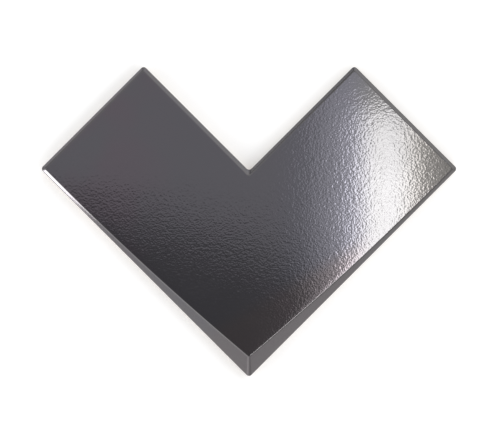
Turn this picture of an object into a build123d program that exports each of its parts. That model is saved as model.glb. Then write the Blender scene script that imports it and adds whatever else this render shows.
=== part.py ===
from build123d import *
from math import radians, sin, sqrt, tan
import os

# Outline: an L of two equal legs. It is laid with its outer corner, the tip, towards -Y.
leg_length = 100.0
arm_width = 49.5
corner_radius = 1.2

# Section at the rim: a straight side wall, then a sloping flank that climbs to the face. The rounded
# shoulder below the flank and the rounded arris above it may each take up this share of the flank.
wall_height = 6.8
flank_height = 1.2
flank_slope = 45.0
shoulder_radius = 0.7
arris_radius = 1.2
flank_share = 0.45

# Face: flat over the arms, then one arc that lifts it towards the tip.
lift_start = 63.0
tip_rise = 4.0

# Back: pressed grooves inside a flat margin, where the adhesive keys in.
back_margin = 6.0
groove_depth = 0.8
groove_width = 4.0
groove_draft = 30.0
land_width = 4.0

# A cutter goes this far past what it cuts, and an edge counts as lying at a height within this much.
overrun = 2.0
closeness = 0.001

diagonal = sqrt(2.0)
flat_thickness = wall_height + flank_height
half_width = leg_length / diagonal
tip_to_peaks = (leg_length + arm_width) / diagonal


def chevron(inset):
    """The L's six corners, with each edge moved in by the inset. Its tip is down and Y halves it."""
    near = inset
    end = leg_length - inset
    inner = arm_width - inset
    points = [(near, near), (end, near), (end, inner), (inner, inner), (inner, end), (near, end)]
    return Rot(0, 0, 45) * make_face(Polyline(*points, close=True))


def convex_corners(outline):
    """Every corner of the outline but the one where the two arms meet."""
    notch = Vector(0, arm_width * diagonal, 0)
    return [corner for corner in outline.vertices() if (Vector(corner) - notch).length > corner_radius]


def face_tip_distance():
    """How far the face's own tip lies from the tip of the outline: the two flanks' mitre, seen in plan."""
    return (flank_height + tip_rise) / tan(radians(flank_slope)) * diagonal


def lift_radius():
    """The arc leaves the flat face without a kink and has gained the tip's rise at the face's tip."""
    run = lift_start - face_tip_distance()
    return (run ** 2 + tip_rise ** 2) / (2 * tip_rise)


def sloping_arm():
    """The right arm: a straight wall, and flanks above it that climb past the highest part of the face."""
    climb = flank_height + tip_rise + overrun
    outline = Rot(0, 0, 45) * Pos(leg_length / 2, arm_width / 2) * Rectangle(leg_length, arm_width)
    wall = extrude(outline, wall_height)
    flanks = extrude(Pos(0, 0, wall_height) * outline, climb, taper=90 - flank_slope)
    return wall + flanks


def sloping_blank():
    """Both arms in one, with their flanks meeting in a crisp valley at the root of the notch."""
    return sloping_arm() + mirror(sloping_arm(), about=Plane.YZ)


def under_the_face():
    """All that lies below the face: its section along Y, drawn out to both sides."""
    radius = lift_radius()
    arc_run = lift_start + overrun
    arc_top = flat_thickness + radius - sqrt(radius ** 2 - arc_run ** 2)
    far = tip_to_peaks + overrun
    flat_end = (lift_start, flat_thickness)
    high_end = (-overrun, arc_top)
    lift = TangentArc(flat_end, high_end, tangent=(-1, 0))
    sides = Polyline(high_end, (-overrun, -overrun), (far, -overrun), (far, flat_thickness), flat_end)
    section = make_face([lift, *sides.edges()])
    return extrude(Plane.YZ * section, half_width + overrun, both=True)


def is_arris(edge):
    """True for an edge where a flank meets the face. The line where the lift starts isn't one."""
    ends = [edge.position_at(0), edge.position_at(1)]
    on_face = min(end.Z for end in ends) > flat_thickness - closeness
    across = all(abs(end.Y - lift_start) < closeness for end in ends)
    return on_face and not across


def is_shoulder(edge):
    """True for an edge where the straight wall meets a flank."""
    return all(abs(edge.position_at(end).Z - wall_height) < closeness for end in (0, 1))


def soft_edges(blank):
    """Rounds the arrises and shoulders, each within its share of the flank, and then the corners."""
    slope_length = flank_height / sin(radians(flank_slope))
    arris_share = flank_share * slope_length / tan(radians(flank_slope / 2))
    shoulder_share = flank_share * slope_length / tan(radians(90 - flank_slope) / 2)
    arrises = [edge for edge in blank.edges() if is_arris(edge)]
    softened = fillet(arrises, min(arris_radius, arris_share))
    shoulders = [edge for edge in softened.edges() if is_shoulder(edge)]
    softened = fillet(shoulders, min(shoulder_radius, shoulder_share))
    outline = chevron(0)
    rounded = fillet(convex_corners(outline), corner_radius)
    return softened & extrude(rounded, flat_thickness + tip_rise + overrun)


def back_grooves():
    """Parallel grooves from side to side of the back, clipped by its margin, each with drafted walls."""
    pitch = groove_width + land_width
    reach = (leg_length - 2 * back_margin) / diagonal - groove_width / 2
    count = 2 * int(reach / pitch) + 1
    stripes = GridLocations(pitch, 1, count, 1) * Rectangle(groove_width, 2 * tip_to_peaks)
    plan = chevron(back_margin) & Sketch(children=stripes)
    return extrude(plan, groove_depth, taper=groove_draft)


def chevron_tile():
    """The tile, set down on its back, with the middle of its outline at the origin."""
    tile = soft_edges(sloping_blank() & under_the_face()) - back_grooves()
    return Pos(0, -tip_to_peaks / 2, 0) * tile


os.makedirs("parts", exist_ok=True)
export_step(chevron_tile(), "parts/chevron_tile.step")
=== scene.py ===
from dataclasses import dataclass
from math import cos, pi, radians, sin, sqrt, tan

import bpy
import numpy as np
from bpy.props import FloatProperty, FloatVectorProperty, IntProperty, PointerProperty
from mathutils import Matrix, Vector
from mathutils.geometry import tessellate_polygon


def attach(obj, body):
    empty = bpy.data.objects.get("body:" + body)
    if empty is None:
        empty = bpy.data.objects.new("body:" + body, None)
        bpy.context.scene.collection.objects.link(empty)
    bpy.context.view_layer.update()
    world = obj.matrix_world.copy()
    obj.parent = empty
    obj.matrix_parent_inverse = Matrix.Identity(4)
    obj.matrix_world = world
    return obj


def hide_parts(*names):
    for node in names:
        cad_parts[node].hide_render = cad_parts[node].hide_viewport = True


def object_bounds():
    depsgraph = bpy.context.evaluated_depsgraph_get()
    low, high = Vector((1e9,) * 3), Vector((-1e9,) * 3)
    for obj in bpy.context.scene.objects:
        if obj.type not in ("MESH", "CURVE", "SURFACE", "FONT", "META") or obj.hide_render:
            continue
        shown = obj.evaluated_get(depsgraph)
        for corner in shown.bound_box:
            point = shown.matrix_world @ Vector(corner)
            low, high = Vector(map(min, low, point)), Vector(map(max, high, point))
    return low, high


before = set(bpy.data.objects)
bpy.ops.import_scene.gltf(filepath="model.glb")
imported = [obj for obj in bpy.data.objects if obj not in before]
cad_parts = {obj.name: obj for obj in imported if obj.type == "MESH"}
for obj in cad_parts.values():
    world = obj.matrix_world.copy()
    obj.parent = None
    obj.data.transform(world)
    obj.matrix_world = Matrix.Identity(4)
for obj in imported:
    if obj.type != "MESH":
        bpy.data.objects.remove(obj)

bl_info = {
    "name": "Chevron wall tile",
    "version": (1, 0, 0),
    "blender": (4, 5, 0),
    "location": "3D View > Sidebar > Tile",
    "description": "A lustre-glazed chevron tile with a lifted tip, and a plain studio to show it in",
    "category": "Object",
}

NODE = "chevron_tile"
# The numbers of the tile's two materials.
GLAZE = 0
CLAY = 1
DIAGONAL = sqrt(2.0)
MM = 0.001
NEARLY_NOTHING = 1e-9
BLACK = (0, 0, 0)
WHITE = (1, 1, 1)

# The box of the CAD model, kept from straight after the frame is loaded.
CAD_LOW, CAD_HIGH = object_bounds()
CORNER_RADIUS = 1.2 * MM
CORNER_CUT = CORNER_RADIUS * (DIAGONAL - 1)
HALF_WIDTH = CAD_HIGH.x + CORNER_CUT
TIP_TO_PEAKS = CAD_HIGH.y - CAD_LOW.y + 2 * CORNER_CUT
LEG_LENGTH = HALF_WIDTH * DIAGONAL
ARM_WIDTH = TIP_TO_PEAKS * DIAGONAL - LEG_LENGTH

# The slow waves in the glaze: how many sines they are made of, the shortest and the longest of these, and
# by how many of their usual crests the whole surface sinks, so that they stay inside the CAD model's box.
WAVE_COUNT = 26
SHORTEST_WAVE = 9 * MM
LONGEST_WAVE = 30 * MM
WAVE_DROP = 1.5

# The mesh: how wide the rim with its own rings is, the cells across an arm and along the rest of a leg,
# the rings on each part of the rim, and how strongly the outermost rings of the face crowd together.
RIM_WIDTH = 9 * MM
SHORT_CELLS = 84
LONG_CELLS = 100
FACE_RINGS = 14
ARRIS_RINGS = 12
FLANK_RINGS = 8
SHOULDER_RINGS = 7
WALL_RINGS = 8
FOOT_RINGS = 4
RING_CROWDING = 1.7
# The blend between flank and face reaches this share of the arris's softness to either side.
BLEND_REACH = 1.15
# Mesh edges that turn by more than this stay sharp.
CREASE = radians(38)
# How often the place where flank and face meet is worked out again.
ROUNDS = 12

# How thin the glaze lies on the flanks. It is 0 on the face and the wall, 1 over the arrises, and most of
# that over the shoulders.
FLANK_THINNESS = 0.4

# The clay: the size of its clouds and how dull they are, the size, share and darkness of its specks, the
# noise values between which a speck appears, and the width and height of its fine and broad grit.
CLAY_CLOUD = 9 * MM
CLAY_DULLNESS = 0.86
CLAY_SPECK = 0.35 * MM
SPECK_SPAN = (0.66, 0.74)
SPECK_SHARE = 0.6
SPECK_DARKNESS = 0.52
FINE_GRIT = 0.5 * MM
FINE_GRIT_HEIGHT = 0.05 * MM
BROAD_GRIT = 3 * MM
BROAD_GRIT_HEIGHT = 0.08 * MM
CLAY_ROUGHNESS = 0.9

# The glaze's lower edge: the size of its waves, how far they wander in all, and how softly it ends.
LINE_WAVE = 7 * MM
LINE_WANDER = 1.6 * MM
LINE_SOFTNESS = 0.15 * MM

# The orange peel. Noise strays little from its middle, and the gain makes that about a half either way.
# The broad grain's width and height are given as shares of the fine one's. Where the glaze is thin, the
# grain is calmer by its own share.
NOISE_GAIN = 4.0
BROAD_GRAIN = 2.0
BROAD_GRAIN_SHARE = 0.7
CALM_SPAN = (0.0, 0.4)
CALM_SHARE = 0.8

# How much of its edge tone thin glaze shows, with patches where it shows least, and the slow clouds of
# haze in its roughness.
WORN_SPAN = (0.0, 0.6)
WORN_PATCH = 2 * MM
WORN_PATCH_SPAN = (0.3, 0.7)
WORN_LEAST = 0.6
HAZE_CLOUD = 14 * MM
HAZE_SWING = 0.05

# The violet clouds: their size, and the noise values between which one appears.
PLUM_CLOUD = 22 * MM
PLUM_CLOUD_SPAN = (0.36, 0.60)

# Where the tones take over from each other along X: a tone begins to show at the first place and is whole
# at the second. The bluish, neutral and warm ones are painted reflection tints, cool on the near side of
# the strip lamp's reflection on the right arm, neutral in it and warm beyond it. The tip's own tone lies
# beyond a slanting line.
PLUM_SPAN = (-16 * MM, -46 * MM)
PAINTED_COOL_SPAN = (4 * MM, 18 * MM)
PAINTED_NEUTRAL_SPAN = (32 * MM, 44 * MM)
PAINTED_WARM_SPAN = (48 * MM, 60 * MM)
UMBER_SPAN = (-26 * MM, -34 * MM)
UMBER_SLANT = 0.6
UMBER_SHARE = 0.9

# The sky. Its dull middle gives way to what is round it between two distances from straight up, given as
# the sines of these angles. A quarter begins to show, and shows in full, at two distances from its level
# heading, given as cosines. Each quarter has its heading, counted from +X towards +Y, and its change in
# level. The camera itself sees an even sky.
ZENITH_SPAN = (0.30, 0.70)
ZENITH_LEVEL = 0.245
QUARTER_SPAN = (0.55, 0.95)
QUARTERS = {
    "back_right": (radians(45), 0.22),
    "back_left": (radians(135), -0.48),
    "front_left": (radians(225), 0.58),
    "front_right": (radians(315), -0.20),
}
SKY_SEEN = 0.95

# The floor's reach to each side, in metres, and its roughness.
FLOOR_REACH = 2.0
FLOOR_ROUGHNESS = 0.85

# How far apart in height the lamps over the right arm hang. With no gap, only one of them would be
# reflected where they overlap.
LAMP_GAP = 2 * MM


def length(name, default, description):
    """A size of the tile or the studio, in metres."""
    return FloatProperty(name=name, default=default, description=description, unit="LENGTH",
                         subtype="DISTANCE", precision=5)


def amount(name, default, description):
    """A plain number of nought or more."""
    return FloatProperty(name=name, default=default, description=description, min=0.0)


def colour(name, default, description):
    """A linear colour."""
    return FloatVectorProperty(name=name, default=default, description=description, subtype="COLOR",
                               size=3, min=0.0, max=1.0)


class TileSizes(bpy.types.PropertyGroup):
    """Sizes of the tile's body, in the frame's own metres."""

    leg: length("Leg", LEG_LENGTH, "Outer edge of each leg, from the tip to the end")
    arm: length("Arm", ARM_WIDTH, "Width of each leg")
    corner: length("Corner radius", CORNER_RADIUS, "Radius of the upright corners, seen from above")
    crest: length("Crest radius", 0.7 * MM, "Radius of the mitres between two flanks")
    wall: length("Wall", 6.8 * MM, "Height of the straight side wall")
    flank: length("Flank", 1.2 * MM, "Height of the sloping flank over the arms")
    slope: FloatProperty(name="Flank slope", default=radians(45), subtype="ANGLE", unit="ROTATION",
                         description="Slope of the flanks above the horizontal")
    shoulder: length("Shoulder radius", 0.7 * MM, "Rounding between the wall and the flank")
    arris: length("Arris softness", 0.28 * MM, "Height over which a flank blends into the face")
    lift_start: length("Lift start", 63 * MM, "Distance from the tip at which the face starts to rise")
    rise: length("Tip rise", 4.0 * MM, "How far the face climbs towards the tip")
    roll: length("Edge roll", 0.05 * MM, "How far the lifted face sinks towards its arris")
    roll_width: length("Edge roll width", 1.1 * MM, "Distance over which that roll dies away")
    roll_growth: length("Edge roll growth", 30 * MM, "Distance past the lift's start to the whole roll")
    foot: length("Foot radius", 0.3 * MM, "Rounding at the bottom of the wall")
    waviness: length("Glaze waviness", 0.0015 * MM, "Height of the slow waves in the fired glaze")
    wave_seed: IntProperty(name="Wave seed", default=7, description="Seed of the waves in the glaze")


class BackSizes(bpy.types.PropertyGroup):
    """Sizes of the pressed grooves in the tile's back."""

    margin: length("Margin", 6 * MM, "Flat border round the grooves")
    depth: length("Depth", 0.8 * MM, "Depth of a groove")
    width: length("Groove", 4 * MM, "Width of a groove at the back's surface")
    land: length("Land", 4 * MM, "Width of the land between two grooves")
    draft: FloatProperty(name="Draft", default=radians(30), subtype="ANGLE", unit="ROTATION",
                         description="How far the groove's walls lean back from upright")


class GlazeLook(bpy.types.PropertyGroup):
    """Colours and finish of the lustre glaze and of the fired clay under it, and the painted reflection
    tints on the right arm.
    """

    pewter: colour("Pewter", (0.1355, 0.131, 0.1475), "The glaze's own metallic tone")
    plum: colour("Plum", (0.143, 0.126, 0.146), "The violet clouds on the left arm")
    umber: colour("Umber", (0.149, 0.1315, 0.1385), "The brownish tone at the tip")
    painted_cool_reflection: colour("Steel", (0.132, 0.1295, 0.150), "The bluish tone where the right arm begins")
    # The next three are painted reflection tints: cool, neutral and warm across the strip lamp's reflection
    # on the right arm.
    painted_neutral_reflection: colour("Silver", (0.141, 0.138, 0.1395), "The neutral tone in the middle of the right arm")
    painted_warm_reflection: colour("Straw", (0.146, 0.139, 0.133), "The warm tone towards the right end")
    edge: colour("Edge", (0.1495, 0.144, 0.1462), "Where the glaze runs thin over an edge")
    clay: colour("Clay", (0.56, 0.47, 0.38), "The unglazed clay of the back and the foot of the wall")
    roughness: amount("Roughness", 0.12, "Roughness of the glaze")
    peel: length("Orange peel", 0.0050 * MM, "Height of the fine orange-peel grain")
    peel_size: length("Grain size", 0.55 * MM, "Width of one orange-peel grain")
    glaze_line: length("Glaze line", 2.6 * MM, "Height on the wall at which the glaze ends")


class StudioSettings(bpy.types.PropertyGroup):
    """The camera, the floor and the lamps."""

    lens: length("Lens", 135 * MM, "Focal length of the camera")
    fill: amount("Fill", 0.845, "Share of the picture's width that the tile takes up")
    floor: colour("Floor", (0.92, 0.92, 0.92), "Colour of the plain floor")
    glow: amount("Floor glow", 0.22, "How much the floor is lifted towards white where it is seen")
    strip_height: length("Strip height", 200 * MM, "Height of the strip lamp above the floor")
    strip_level: amount("Strip level", 4.95, "Brightness of the strip lamp's surface")
    core_level: amount("Core level", 1.35, "Brightness that the strip's front part adds to it")
    halo_level: amount("Halo level", 0.68, "Brightness of the wider lamp round the strip")
    low_level: amount("Low lamp level", 7.64, "Brightness of the lamp beside the left corner")
    panel_level: amount("Panel level", 0.465, "Brightness of the panel over the left arm")


def tile_point(leg_u, leg_v):
    """From distances along the two lower edges to X and Y, with the middle of the outline at nought."""
    return (leg_u - leg_v) / DIAGONAL, (leg_u + leg_v) / DIAGONAL - TIP_TO_PEAKS / 2


def eased_steps(count, ease=0.75):
    """Numbers from 0 to 1 in that many steps, finer towards both ends."""
    even = np.linspace(0.0, 1.0, count + 1)
    return (1 - ease) * even + ease * (0.5 - 0.5 * np.cos(pi * even))


class Outline:
    """The L as a ring of points. Each point moves in a straight line as the ring is moved inwards.

    The ring runs from the tip along the right leg, round the notch and back along the left leg, in the
    distances along the two lower edges. Its stations are the L's corners and one place on each lower
    edge, so that its cells line up with the face's grid. Each station that is a corner has the headings
    of its two sides.
    """

    sides = {0: ((1, 0), (0, 1)), 2: ((-1, 0), (0, 1)), 3: ((0, -1), (-1, 0)),
             4: ((1, 0), (0, 1)), 5: ((0, -1), (-1, 0)), 6: ((1, 0), (0, -1))}

    def __init__(self, sizes):
        leg = sizes.leg
        arm = sizes.arm
        split = arm - RIM_WIDTH
        self.stations = np.array([(0, 0), (split, 0), (leg, 0), (leg, arm), (arm, arm), (arm, leg),
                                  (0, leg), (0, split)])
        self.inward = np.array([(1, 1), (0, 1), (-1, 1), (-1, -1), (-1, -1), (-1, -1), (1, -1), (1, 0)])
        cells = (SHORT_CELLS, LONG_CELLS, SHORT_CELLS, LONG_CELLS,
                 LONG_CELLS, SHORT_CELLS, LONG_CELLS, SHORT_CELLS)
        at = []
        move = []
        for k, count in enumerate(cells):
            step = eased_steps(count)[:-1, None]
            after = (k + 1) % len(cells)
            at.append((1 - step) * self.stations[k] + step * self.stations[after])
            move.append((1 - step) * self.inward[k] + step * self.inward[after])
        self.at = np.concatenate(at)
        self.move = np.concatenate(move).astype(float)

    def ring(self, inset, radius):
        """The ring moved in by inset, which may differ from point to point, with its corners rounded.

        The points within a radius of a corner, along both of its sides, are moved onto the arc there.
        """
        inset = np.broadcast_to(inset, len(self.at))[:, None]
        radius = np.broadcast_to(radius, len(self.at))[:, None]
        points = self.at + self.move * inset
        for k, headings in self.sides.items():
            one, two = (np.array(heading, dtype=float) for heading in headings)
            corner = self.stations[k] + self.inward[k] * inset
            along_one = ((points - corner) @ one)[:, None]
            along_two = ((points - corner) @ two)[:, None]
            beside_one = (along_one >= -NEARLY_NOTHING) & (along_one < radius)
            beside_two = (along_two >= -NEARLY_NOTHING) & (along_two < radius)
            near = beside_one & beside_two
            centre = corner + radius * (one + two)
            spoke = points - centre
            reach = np.maximum(np.linalg.norm(spoke, axis=1, keepdims=True), NEARLY_NOTHING)
            points = np.where(near, centre + radius * spoke / reach, points)
        return points


class TileForm:
    """The heights of the tile's upper side."""

    def __init__(self, sizes):
        self.sizes = sizes
        self.thickness = sizes.wall + sizes.flank
        self.run = sizes.lift_start - (sizes.flank + sizes.rise) / tan(sizes.slope) * DIAGONAL
        self.radius = (self.run ** 2 + sizes.rise ** 2) / (2 * sizes.rise)
        draw = np.random.default_rng(sizes.wave_seed)
        heading = draw.uniform(0, 2 * pi, WAVE_COUNT)
        pace = 2 * pi / draw.uniform(SHORTEST_WAVE, LONGEST_WAVE, WAVE_COUNT)
        start = draw.uniform(0, 2 * pi, WAVE_COUNT)
        self.waves = np.stack([np.cos(heading) * pace, np.sin(heading) * pace, start])
        self.wave_height = sizes.waviness / sqrt(WAVE_COUNT / 2)

    def past_lift_start(self, y):
        """How far a point lies past the line where the face starts to rise, or nought before it."""
        return np.maximum(self.sizes.lift_start - (y + TIP_TO_PEAKS / 2), 0.0)

    def face(self, y):
        """Height of the face: flat, then an arc that starts without a kink and climbs to the tip."""
        return self.thickness + self.radius - np.sqrt(self.radius ** 2 - self.past_lift_start(y) ** 2)

    def waviness(self, x, y):
        """The slow waves of the fired glaze: a sum of a few sines in all directions."""
        across, along, start = self.waves
        phase = np.multiply.outer(x, across) + np.multiply.outer(y, along) + start
        return self.wave_height * (np.sin(phase).sum(axis=-1) - WAVE_DROP * sqrt(WAVE_COUNT))

    def arris_inset(self, outline):
        """How far in from the outline the flank meets the face, for each point of the ring.

        The face's height depends on where they meet, so a first guess is bettered in a few rounds.
        """
        inset = np.full(len(outline.at), self.sizes.flank / tan(self.sizes.slope))
        for _ in range(ROUNDS):
            points = outline.at + outline.move * inset[:, None]
            y = tile_point(points[:, 0], points[:, 1])[1]
            inset = (self.face(y) - self.sizes.wall) / tan(self.sizes.slope)
        return inset

    def top(self, inset, y, arris):
        """Height of flank or face, whichever is lower, with a soft arris between them."""
        flank = self.sizes.wall + inset * tan(self.sizes.slope)
        within = np.maximum(inset - arris, 0.0)
        roll = self.sizes.roll * np.minimum(self.past_lift_start(y) / self.sizes.roll_growth, 1.0)
        face = self.face(y) - roll * np.exp(-within / self.sizes.roll_width)
        soft = self.sizes.arris
        blend = np.clip(0.5 + 0.5 * (face - flank) / soft, 0.0, 1.0)
        return face + (flank - face) * blend - soft * blend * (1 - blend)


class MeshParts:
    """Collects points, how thin the glaze lies on them, faces, and each face's material number."""

    def __init__(self):
        self.points = []
        self.thinness = []
        self.faces = []
        self.finish = []
        self.count = 0

    def add_points(self, points, thinness=0.0):
        """Adds points and returns their numbers. Thinness says how thin the glaze lies there."""
        points = np.asarray(points, dtype=float).reshape(-1, 3)
        numbers = np.arange(self.count, self.count + len(points))
        self.points.append(points)
        self.thinness.append(np.broadcast_to(thinness, len(points)))
        self.count += len(points)
        return numbers

    def add_faces(self, faces, finish=GLAZE):
        """Adds faces that are made of point numbers."""
        for face in faces:
            self.faces.append([int(k) for k in face])
        self.finish.extend([finish] * len(faces))

    def bridge(self, outer, inner, finish=GLAZE):
        """Quads between two closed rings of as many points. The first ring is on the outer side."""
        self.add_faces(np.stack([outer, np.roll(outer, -1), np.roll(inner, -1), inner], axis=1), finish)

    def to_object(self, name, finishes):
        """Makes the mesh object, smooth but for its real creases."""
        mesh = bpy.data.meshes.new(name)
        mesh.from_pydata(np.concatenate(self.points).tolist(), [], self.faces)
        for finish in finishes:
            mesh.materials.append(finish)
        mesh.polygons.foreach_set("material_index", self.finish)
        thin = mesh.attributes.new("thin_glaze", "FLOAT", "POINT")
        thin.data.foreach_set("value", np.concatenate(self.thinness))
        mesh.shade_smooth()
        mesh.set_sharp_from_angle(angle=CREASE)
        mesh.validate()
        mesh.update()
        made = bpy.data.objects.new(name, mesh)
        bpy.context.scene.collection.objects.link(made)
        return made


def add_face(parts, form):
    """The inner part of the face, a grid over the L. Returns the numbers of the points round its border."""
    sizes = form.sizes
    near = RIM_WIDTH
    middle = sizes.arm - RIM_WIDTH
    end = sizes.leg - RIM_WIDTH
    lines = np.concatenate([near + (middle - near) * eased_steps(SHORT_CELLS),
                            middle + (end - middle) * eased_steps(LONG_CELLS)[1:]])
    last = len(lines) - 1
    short = SHORT_CELLS
    col, row = np.meshgrid(np.arange(last + 1), np.arange(last + 1), indexing="ij")
    inside = (col <= short) | (row <= short)
    x, y = tile_point(lines[col[inside]], lines[row[inside]])
    number = np.full(inside.shape, -1)
    number[inside] = parts.add_points(np.stack([x, y, form.face(y) + form.waviness(x, y)], axis=1))
    quads = np.stack([number[:-1, :-1], number[1:, :-1], number[1:, 1:], number[:-1, 1:]], axis=-1)
    whole = quads.reshape(-1, 4)
    parts.add_faces(whole[(whole >= 0).all(axis=1)])
    border = np.concatenate([number[:last, 0], number[last, :short], number[last:short:-1, short],
                             number[short, short:last], number[short:0:-1, last], number[0, last:0:-1]])
    return border


def ring_steps(first, last, count):
    """That many even steps from the first value to the last, without the first, where a ring already is."""
    return np.linspace(first, last, count + 1)[1:]


def shoulder_reach(sizes):
    """How far the shoulder's rounding reaches from the sharp corner, along the wall and the flank."""
    return sizes.shoulder * tan((pi / 2 - sizes.slope) / 2)


def arris_thinness(part):
    """How thin the glaze lies across the arris, from the face at 1 to the flank at -1."""
    return 1 - part ** 2 if part > 0 else 1 - (1 - FLANK_THINNESS) * part ** 2


def shoulder_thinness(part):
    """How thin the glaze lies across the shoulder, from the flank at 0 to the wall at 1."""
    return FLANK_THINNESS * (1 - part) + (1 - FLANK_THINNESS) * sin(pi * part)


def upper_rings(sizes, arris):
    """The inset, corner radius and glaze thinness of each ring over the face, the arris and the flank."""
    half_blend = BLEND_REACH * sizes.arris / tan(sizes.slope)
    flank_foot = shoulder_reach(sizes) * cos(sizes.slope)
    for part in ring_steps(0, 1, FACE_RINGS):
        crowded = 1 - (1 - part) ** RING_CROWDING
        inset = RIM_WIDTH + (arris + half_blend - RIM_WIDTH) * crowded
        yield inset, sizes.crest * part, 0.0
    for part in ring_steps(1, -1, ARRIS_RINGS):
        yield arris + half_blend * part, sizes.crest, arris_thinness(part)
    for part in ring_steps(0, 1, FLANK_RINGS):
        inset = (arris - half_blend) * (1 - part) + flank_foot * part
        yield inset, sizes.crest + (sizes.corner - sizes.crest) * part, FLANK_THINNESS


def add_upper_rings(parts, form, outline, border):
    """Rings from the face's border over the arris and down the flank. Returns the last, and its waves."""
    arris = form.arris_inset(outline)
    outer = border
    for inset, radius, thin in upper_rings(form.sizes, arris):
        flat = outline.ring(inset, radius)
        x, y = tile_point(flat[:, 0], flat[:, 1])
        waves = form.waviness(x, y)
        z = form.top(inset, y, arris) + waves
        numbers = parts.add_points(np.stack([x, y, z], axis=1), thin)
        parts.bridge(numbers, outer)
        outer = numbers
    return outer, waves


def lower_rings(sizes, waves):
    """The inset, height and glaze thinness of each ring over the shoulder, the wall and its foot."""
    wall_top = sizes.wall - shoulder_reach(sizes)
    for part in ring_steps(0, 1, SHOULDER_RINGS):
        angle = sizes.slope + (pi / 2 - sizes.slope) * part
        z = wall_top + sizes.shoulder * cos(angle) + waves * (1 - part)
        yield sizes.shoulder * (1 - sin(angle)), z, shoulder_thinness(part)
    for part in ring_steps(0, 1, WALL_RINGS):
        yield 0.0, wall_top * (1 - part) + sizes.foot * part, 0.0
    for part in ring_steps(0, 1, FOOT_RINGS):
        angle = pi / 2 * part
        yield sizes.foot * (1 - cos(angle)), sizes.foot * (1 - sin(angle)), 0.0


def add_lower_rings(parts, sizes, outline, flank_ring, waves):
    """Rings over the shoulder, down the wall and round its foot. Returns the last one."""
    outer = flank_ring
    for inset, z, thin in lower_rings(sizes, waves):
        flat = outline.ring(inset, sizes.corner - inset)
        x, y = tile_point(flat[:, 0], flat[:, 1])
        numbers = parts.add_points(np.stack([x, y, np.broadcast_to(z, len(x))], axis=1), thin)
        parts.bridge(numbers, outer)
        outer = numbers
    return outer


def groove_plan(sizes, back, middle_x):
    """The outline of one groove: a stripe along Y, cut off by the inner edge of the margin."""
    low = DIAGONAL * back.margin - TIP_TO_PEAKS / 2
    root = DIAGONAL * (sizes.arm - back.margin) - TIP_TO_PEAKS / 2
    side = DIAGONAL * (sizes.leg - back.margin) - TIP_TO_PEAKS / 2
    peak_x = (sizes.leg - sizes.arm) / DIAGONAL
    left = middle_x - back.width / 2
    right = middle_x + back.width / 2
    turns_below = [0.0] if left < 0 < right else []
    turns_above = [x for x in (-peak_x, 0.0, peak_x) if left < x < right]
    lower = [(x, low + abs(x)) for x in [left, *turns_below, right]]
    upper = [(x, min(root + abs(x), side - abs(x))) for x in [right, *reversed(turns_above), left]]
    return [Vector(point) for point in lower + upper]


def moved_in(plan, distance):
    """The polygon with each of its sides moved in by the distance."""
    moved = []
    for k, here in enumerate(plan):
        before = (here - plan[k - 1]).normalized()
        after = (plan[(k + 1) % len(plan)] - here).normalized()
        inward_before = Vector((-before.y, before.x))
        inward_after = Vector((-after.y, after.x))
        bisector = inward_before + inward_after
        moved.append(here + bisector * (distance / (1 + inward_before.dot(inward_after))))
    return moved


def add_back(parts, sizes, back, foot_ring, finish):
    """The flat back inside the foot ring, with its pressed grooves."""
    pitch = back.width + back.land
    reach = (sizes.leg - 2 * back.margin) / DIAGONAL - back.width / 2
    each_side = int(reach / pitch)
    points = np.concatenate(parts.points)
    loops = [[Vector(points[k]) for k in foot_ring]]
    numbers = [list(foot_ring)]
    for k in range(-each_side, each_side + 1):
        mouth = groove_plan(sizes, back, k * pitch)
        floor = moved_in(mouth, back.depth * tan(back.draft))
        mouth_numbers = parts.add_points([(p.x, p.y, 0.0) for p in mouth])
        floor_numbers = parts.add_points([(p.x, p.y, back.depth) for p in floor])
        parts.bridge(mouth_numbers, floor_numbers, finish)
        parts.add_faces([floor_numbers[::-1]], finish)
        loops.append([Vector((p.x, p.y, 0.0)) for p in mouth])
        numbers.append(list(mouth_numbers))
    every = [k for loop in numbers for k in loop]
    flat = [p for loop in loops for p in loop]
    lands = []
    for a, b, c in tessellate_polygon(loops):
        faces_down = (flat[b] - flat[a]).cross(flat[c] - flat[a]).z < 0
        lands.append([every[a], every[b], every[c]] if faces_down else [every[a], every[c], every[b]])
    parts.add_faces(lands, finish)


class Value:
    """A number that a material works out at each point. Sums and products on it add Math nodes."""

    def __init__(self, nodes, socket):
        self.nodes = nodes
        self.socket = socket

    def maths(self, operation, *others):
        """One Math node with this value first."""
        return self.nodes.maths(operation, self, *others)

    def __add__(self, other):
        return self.maths("ADD", other)

    __radd__ = __add__

    def __sub__(self, other):
        return self.maths("SUBTRACT", other)

    def __rsub__(self, other):
        return self.nodes.maths("SUBTRACT", other, self)

    def __mul__(self, other):
        return self.maths("MULTIPLY", other)

    __rmul__ = __mul__


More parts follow.
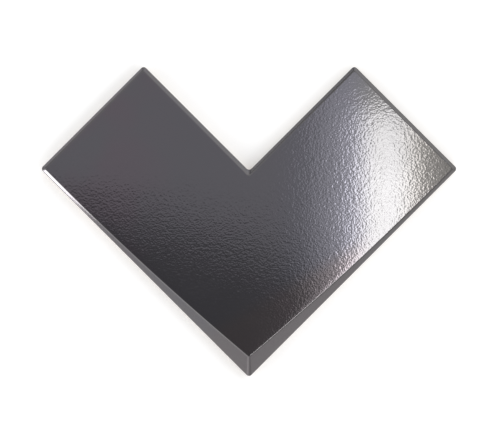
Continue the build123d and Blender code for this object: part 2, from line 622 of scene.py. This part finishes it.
class Nodes:
    """Adds nodes to one material or world."""

    def __init__(self, owner):
        owner.use_nodes = True
        self.tree = owner.node_tree
        self.tree.nodes.clear()

    def node(self, kind, settings=None, **sockets):
        """One node: its settings first, then the values or links of its sockets.

        A socket is given by its name, with an underscore for each space, or by _ and its number.
        """
        made = self.tree.nodes.new(kind)
        for name, setting in (settings or {}).items():
            setattr(made, name, setting)
        for name, value in sockets.items():
            key = int(name[1:]) if name[0] == "_" else name.replace("_", " ")
            self.feed(made.inputs[key], value)
        return made

    def feed(self, socket, value):
        """Links a value to a socket, or sets a plain number or colour on it."""
        if isinstance(value, Value):
            self.tree.links.new(value.socket, socket)
        elif isinstance(value, (int, float)):
            socket.default_value = value
        else:
            numbers = tuple(value)
            wide = len(socket.default_value) == 4 and len(numbers) == 3
            socket.default_value = (*numbers, 1.0) if wide else numbers

    def out(self, made, name=0):
        """One output of a node."""
        return Value(self, made.outputs[name])

    def maths(self, operation, *values):
        """One Math node on these values."""
        made = self.node("ShaderNodeMath", {"operation": operation})
        for socket, value in zip(made.inputs, values):
            self.feed(socket, value)
        return self.out(made)

    def step(self, value, low, high):
        """Rises smoothly from 0 to 1 as the value goes from low to high."""
        made = self.node("ShaderNodeMapRange", {"interpolation_type": "SMOOTHSTEP"},
                         Value=value, From_Min=low, From_Max=high)
        return self.out(made)

    def mix(self, factor, one, two):
        """Colour one where the factor is 0, and colour two where it is 1.

        The Mix node has sockets of the same names for numbers, vectors and colours, so the colour ones
        are picked by their place in the list.
        """
        made = self.node("ShaderNodeMix", {"data_type": "RGBA"}, _0=factor, _6=one, _7=two)
        return self.out(made, 2)

    def noise(self, place, size, detail=2.0, roughness=0.5):
        """Cloudy noise from 0 to 1, whose clouds are about that size."""
        made = self.node("ShaderNodeTexNoise", {"noise_dimensions": "3D"}, Vector=place, Scale=1 / size,
                         Detail=detail, Roughness=roughness)
        return self.out(made)

    def place(self, space="Object"):
        """Where a point lies: in the tile's own frame, or by the name of another kind of coordinates."""
        return self.out(self.node("ShaderNodeTexCoord"), space)

    def split(self, vector):
        """The three numbers of a vector."""
        made = self.node("ShaderNodeSeparateXYZ", Vector=vector)
        return [self.out(made, axis) for axis in "XYZ"]

    def bump(self, height):
        """The normal of a surface with that relief, in metres."""
        return self.out(self.node("ShaderNodeBump", Strength=1.0, Distance=1.0, Height=height))

    def surface(self, **sockets):
        """The Principled shader and the material's output."""
        shader = self.node("ShaderNodeBsdfPrincipled", **sockets)
        self.node("ShaderNodeOutputMaterial", Surface=self.out(shader))


def clay_colour(nodes, look, place):
    """Pale fired clay with soft clouds and a few darker specks."""
    clouds = nodes.noise(place, CLAY_CLOUD)
    specks = nodes.step(nodes.noise(place, CLAY_SPECK, detail=1.0), *SPECK_SPAN)
    dull = [CLAY_DULLNESS * part for part in look.clay]
    dark = [SPECK_DARKNESS * part for part in look.clay]
    clean = nodes.mix(clouds, dull, look.clay)
    return nodes.mix(specks * SPECK_SHARE, clean, dark)


def clay_height(nodes, place):
    """The grain of the pressed clay, in metres."""
    fine = nodes.noise(place, FINE_GRIT, detail=3.0) * FINE_GRIT_HEIGHT
    return fine + nodes.noise(place, BROAD_GRIT) * BROAD_GRIT_HEIGHT


def clay_material(look):
    """Unglazed fired clay, for the back."""
    made = bpy.data.materials.new("fired_clay")
    nodes = Nodes(made)
    place = nodes.place()
    nodes.surface(Base_Color=clay_colour(nodes, look, place), Roughness=CLAY_ROUGHNESS,
                  Normal=nodes.bump(clay_height(nodes, place)))
    return made


def glaze_colour(nodes, look, place, x, y, worn):
    """Pewter with violet clouds on the left, then bluish, neutral and warm painted reflection tints across
    the right arm, and brownish at the tip.
    """
    clouds = nodes.step(nodes.noise(place, PLUM_CLOUD), *PLUM_CLOUD_SPAN)
    leftward = nodes.step(x, *PLUM_SPAN)
    tipward = nodes.step(y - x * UMBER_SLANT, *UMBER_SPAN)
    tone = nodes.mix(clouds * leftward, look.pewter, look.plum)
    # Painted reflection tints: cool beside the strip lamp's reflection, neutral in it and warm beyond it.
    tone = nodes.mix(nodes.step(x, *PAINTED_COOL_SPAN), tone, look.painted_cool_reflection)
    tone = nodes.mix(tipward * UMBER_SHARE, tone, look.umber)
    tone = nodes.mix(nodes.step(x, *PAINTED_NEUTRAL_SPAN), tone, look.painted_neutral_reflection)
    tone = nodes.mix(nodes.step(x, *PAINTED_WARM_SPAN), tone, look.painted_warm_reflection)
    return nodes.mix(worn, tone, look.edge)


def glaze_mask(nodes, look, place, z):
    """1 on the glaze and 0 on the bare clay below its uneven lower edge."""
    wander = nodes.noise(place, LINE_WAVE, roughness=0.35) * LINE_WANDER
    middle = look.glaze_line - LINE_WANDER / 2
    return nodes.step(z - wander, middle - LINE_SOFTNESS, middle + LINE_SOFTNESS)


def glaze_height(nodes, look, place, thin):
    """The orange-peel grain of the glaze, in metres, calmer over the edges."""
    fine = nodes.noise(place, look.peel_size, detail=0.0) - 0.5
    broad = nodes.noise(place, look.peel_size * BROAD_GRAIN, detail=0.0) - 0.5
    calm = nodes.step(thin, *CALM_SPAN) * CALM_SHARE
    return (fine + broad * BROAD_GRAIN_SHARE) * NOISE_GAIN * look.peel * (1 - calm)


def glaze_material(look):
    """Lustre glaze over the face, flanks and upper wall, with bare clay below its uneven edge."""
    made = bpy.data.materials.new("lustre_glaze")
    nodes = Nodes(made)
    place = nodes.place()
    x, y, z = nodes.split(place)
    thin = nodes.out(nodes.node("ShaderNodeAttribute", {"attribute_name": "thin_glaze"}), "Fac")
    glazed = glaze_mask(nodes, look, place, z)
    bare = 1 - glazed
    patches = nodes.step(nodes.noise(place, WORN_PATCH), *WORN_PATCH_SPAN)
    worn = nodes.step(thin, *WORN_SPAN) * (patches * (1 - WORN_LEAST) + WORN_LEAST)
    lustre = glaze_colour(nodes, look, place, x, y, worn)
    haze = (nodes.noise(place, HAZE_CLOUD) - 0.5) * HAZE_SWING
    height = glaze_height(nodes, look, place, thin) * glazed + clay_height(nodes, place) * bare
    nodes.surface(Base_Color=nodes.mix(glazed, clay_colour(nodes, look, place), lustre),
                  Metallic=glazed,
                  Roughness=(haze + look.roughness) * glazed + bare * CLAY_ROUGHNESS,
                  Normal=nodes.bump(height))
    return made


def build_tile(scene):
    """The whole tile as one closed mesh."""
    sizes = scene.tile_sizes
    look = scene.tile_look
    form = TileForm(sizes)
    outline = Outline(sizes)
    parts = MeshParts()
    border = add_face(parts, form)
    flank_ring, waves = add_upper_rings(parts, form, outline, border)
    foot_ring = add_lower_rings(parts, sizes, outline, flank_ring, waves)
    add_back(parts, sizes, scene.tile_back, foot_ring, CLAY)
    tile = parts.to_object("glazed_chevron", [glaze_material(look), clay_material(look)])
    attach(tile, "root")
    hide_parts(NODE)


def add_floor(studio):
    """A plain pale floor, wide enough for every view."""
    corners = [(x * FLOOR_REACH, y * FLOOR_REACH, 0) for x, y in ((-1, -1), (1, -1), (1, 1), (-1, 1))]
    mesh = bpy.data.meshes.new("floor")
    mesh.from_pydata(corners, [], [(0, 1, 2, 3)])
    floor = bpy.data.objects.new("floor", mesh)
    bpy.context.scene.collection.objects.link(floor)
    made = bpy.data.materials.new("plain_floor")
    nodes = Nodes(made)
    # The glow is there for the camera and in what it sees mirrored or through glass, but lights nothing.
    path = nodes.node("ShaderNodeLightPath")
    direct = nodes.out(path, "Is Camera Ray") + nodes.out(path, "Is Glossy Ray")
    seen = (direct + nodes.out(path, "Is Transmission Ray")).maths("MINIMUM", 1.0)
    nodes.surface(Base_Color=studio.floor, Roughness=FLOOR_ROUGHNESS, Emission_Strength=studio.glow,
                  Emission_Color=nodes.mix(seen, BLACK, WHITE))
    mesh.materials.append(made)


@dataclass
class Lamp:
    """A flat soft lamp.

    It has its place, the point it is aimed at, its width and height, its brightness, how far it is turned
    about the vertical, and whether it is an oval instead of a rectangle.
    """

    place: tuple
    target: tuple
    size: tuple
    level: float
    turn: float = 0.0
    oval: bool = False


def hanging_lamp(x, y, height, size, level, turn=0.0):
    """A lamp that hangs at that height and points straight down."""
    return Lamp(place=(x, y, height), target=(x, y, 0), size=size, level=level, turn=turn)


def studio_lamps(studio):
    """The lamps by name.

    The strip, its core and its halo hang close above each other over the right arm, and their reflection
    is the bright band on it. The top panel is what the left arm reflects. The low lamp stands on the floor
    beside the left corner and brightens the end of the flank there.
    """
    height = studio.strip_height
    return {
        "strip_lamp": hanging_lamp(x=0.061, y=-0.0225, height=height,
                                   size=(0.023, 0.143), level=studio.strip_level),
        "strip_core": hanging_lamp(x=0.061, y=-0.0365, height=height - LAMP_GAP,
                                   size=(0.024, 0.115), level=studio.core_level),
        "halo_lamp": hanging_lamp(x=0.062, y=-0.015, height=height + LAMP_GAP,
                                  size=(0.066, 0.19), level=studio.halo_level),
        "low_lamp": Lamp(place=(-0.133, -0.040, 0.015), target=(-0.0685, 0.0157, 0.015),
                         size=(0.046, 0.030), level=studio.low_level, oval=True),
        "top_panel": hanging_lamp(x=-0.011, y=0.0565, height=0.14,
                                  size=(0.22, 0.105), level=studio.panel_level, turn=radians(-7)),
    }


def add_lamp(name, plan):
    """Makes one lamp. Its power is what gives its surface the brightness of the plan."""
    wide, high = plan.size
    area = wide * high * (pi / 4 if plan.oval else 1)
    lamp = bpy.data.lights.new(name, "AREA")
    lamp.shape = "ELLIPSE" if plan.oval else "RECTANGLE"
    lamp.size = wide
    lamp.size_y = high
    lamp.energy = plan.level * pi * area
    made = bpy.data.objects.new(name, lamp)
    made.location = plan.place
    aim = Vector(plan.target) - Vector(plan.place)
    made.rotation_euler = aim.to_track_quat("-Z", "Y").to_euler()
    made.rotation_euler.z += plan.turn
    bpy.context.scene.collection.objects.link(made)


def add_world():
    """Soft white all round, duller straight above, and different from quarter to quarter."""
    world = bpy.data.worlds.new("soft_studio")
    bpy.context.scene.world = world
    nodes = Nodes(world)
    x, y, _ = nodes.split(nodes.place("Generated"))
    around = 1.0
    for heading, change in QUARTERS.values():
        facing = x * cos(heading) + y * sin(heading)
        around = around + nodes.step(facing, *QUARTER_SPAN) * change
    tilt = (x * x + y * y).maths("SQRT")
    aside = nodes.step(tilt, *ZENITH_SPAN)
    level = ZENITH_LEVEL * (1 - aside) + around * aside
    lit = nodes.node("ShaderNodeBackground", Color=WHITE, Strength=level)
    seen = nodes.node("ShaderNodeBackground", Color=WHITE, Strength=SKY_SEEN)
    camera = nodes.out(nodes.node("ShaderNodeLightPath"), "Is Camera Ray")
    both = nodes.node("ShaderNodeMixShader", _0=camera, _1=nodes.out(lit), _2=nodes.out(seen))
    nodes.node("ShaderNodeOutputWorld", Surface=nodes.out(both))


def add_camera(studio):
    """Straight above the tile, with the tip towards the bottom of the picture."""
    camera = bpy.data.cameras.new("camera")
    camera.lens = studio.lens / MM
    width_in_view = 2 * HALF_WIDTH / studio.fill
    made = bpy.data.objects.new("camera", camera)
    made.location = (0, 0, CAD_HIGH.z + width_in_view * camera.lens / camera.sensor_width)
    bpy.context.scene.collection.objects.link(made)
    bpy.context.scene.camera = made


class TILE_OT_build(bpy.types.Operator):
    """Build the glazed chevron tile in the place of its CAD solid"""

    bl_idname = "tile.build"
    bl_label = "Build the tile"

    def execute(self, context):
        build_tile(context.scene)
        return {"FINISHED"}


class TILE_OT_stage(bpy.types.Operator):
    """Set the floor, the lamps, the surrounding light and the camera"""

    bl_idname = "tile.stage"
    bl_label = "Set the stage"

    def execute(self, context):
        studio = context.scene.tile_studio
        context.scene.view_settings.view_transform = "Standard"
        add_floor(studio)
        add_world()
        add_camera(studio)
        for name, plan in studio_lamps(studio).items():
            add_lamp(name, plan)
        return {"FINISHED"}


class TILE_PT_panel(bpy.types.Panel):
    """The tile's two operators and all its settings"""

    bl_label = "Chevron tile"
    bl_idname = "TILE_PT_panel"
    bl_space_type = "VIEW_3D"
    bl_region_type = "UI"
    bl_category = "Tile"

    def draw(self, context):
        for operator in (TILE_OT_build, TILE_OT_stage):
            self.layout.operator(operator.bl_idname)
        for name in GROUPS:
            group = getattr(context.scene, name)
            for setting in group.bl_rna.properties.keys():
                if setting not in ("name", "rna_type"):
                    self.layout.prop(group, setting)


GROUPS = {
    "tile_sizes": TileSizes,
    "tile_back": BackSizes,
    "tile_look": GlazeLook,
    "tile_studio": StudioSettings,
}
CLASSES = (TileSizes, BackSizes, GlazeLook, StudioSettings, TILE_OT_build, TILE_OT_stage, TILE_PT_panel)


def register():
    """Makes the settings, the operators and the panel known to Blender."""
    for cls in CLASSES:
        bpy.utils.register_class(cls)
    for name, group in GROUPS.items():
        setattr(bpy.types.Scene, name, PointerProperty(type=group))


def unregister():
    """Takes them away again."""
    for name in GROUPS:
        delattr(bpy.types.Scene, name)
    for cls in reversed(CLASSES):
        bpy.utils.unregister_class(cls)


def main():
    """Builds everything in order."""
    register()
    bpy.ops.tile.build()
    bpy.ops.tile.stage()


if __name__ == "__main__":
    main()
